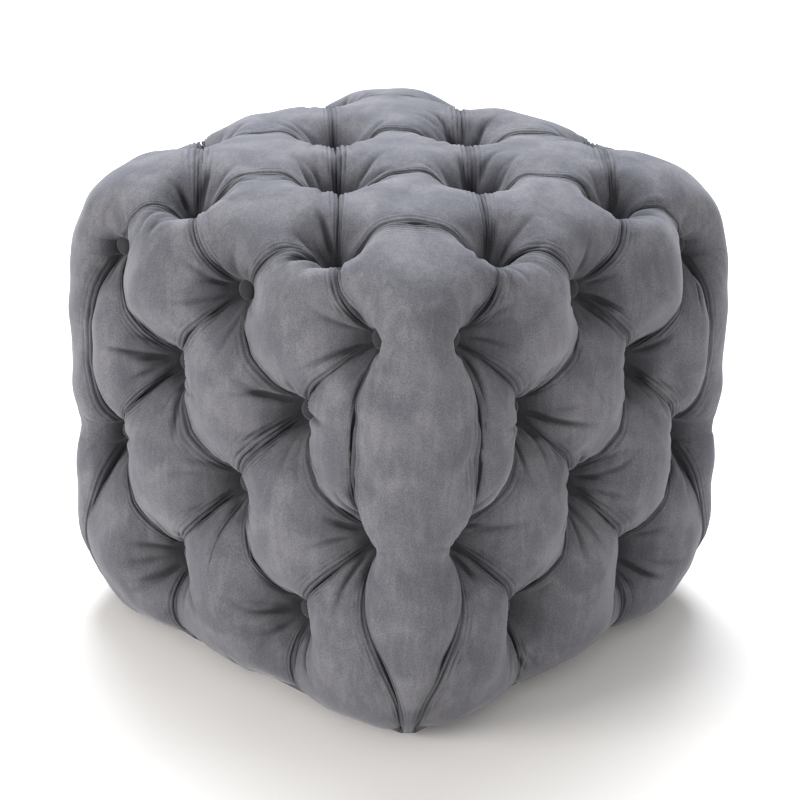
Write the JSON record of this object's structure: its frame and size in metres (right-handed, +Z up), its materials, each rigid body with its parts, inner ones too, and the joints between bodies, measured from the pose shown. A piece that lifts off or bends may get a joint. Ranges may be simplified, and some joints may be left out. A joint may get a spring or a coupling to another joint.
{
  "type": "cube pouf stool",
  "caption": "Square filled pouf stool in a velvet cover, drawn in deeply by covered buttons on its top and four sides, with a flat underside that rests on the floor.",
  "frame": {"origin": "middle of the flat underside, on the floor", "axes": "+Z up, X and Y square to the four sides; all four sides are alike"},
  "size_m": [0.4982, 0.4982, 0.4565],
  "materials": {
    "cover": "brushed grey velvet, soft sheen",
    "buttons": "the same grey velvet, stretched over small domed buttons"
  },
  "bodies": {
    "root": {"cover": "cover", "button_01": "buttons", "button_02": "buttons", "button_03": "buttons", "button_04": "buttons", "button_05": "buttons", "button_06": "buttons", "button_07": "buttons", "button_08": "buttons", "button_09": "buttons", "button_10": "buttons", "button_11": "buttons", "button_12": "buttons", "button_13": "buttons", "button_14": "buttons", "button_15": "buttons", "button_16": "buttons", "button_17": "buttons", "button_18": "buttons", "button_19": "buttons", "button_20": "buttons", "button_21": "buttons", "button_22": "buttons", "button_23": "buttons", "button_24": "buttons", "button_25": "buttons", "button_26": "buttons", "button_27": "buttons", "button_28": "buttons", "button_29": "buttons", "button_30": "buttons", "button_31": "buttons", "button_32": "buttons", "button_33": "buttons", "button_34": "buttons", "button_35": "buttons", "button_36": "buttons", "button_37": "buttons", "button_38": "buttons", "button_39": "buttons", "button_40": "buttons", "button_41": "buttons", "button_42": "buttons", "button_43": "buttons", "button_44": "buttons", "button_45": "buttons", "button_46": "buttons", "button_47": "buttons", "button_48": "buttons", "button_49": "buttons", "button_50": "buttons", "button_51": "buttons", "button_52": "buttons"}
  },
  "joints": []
}
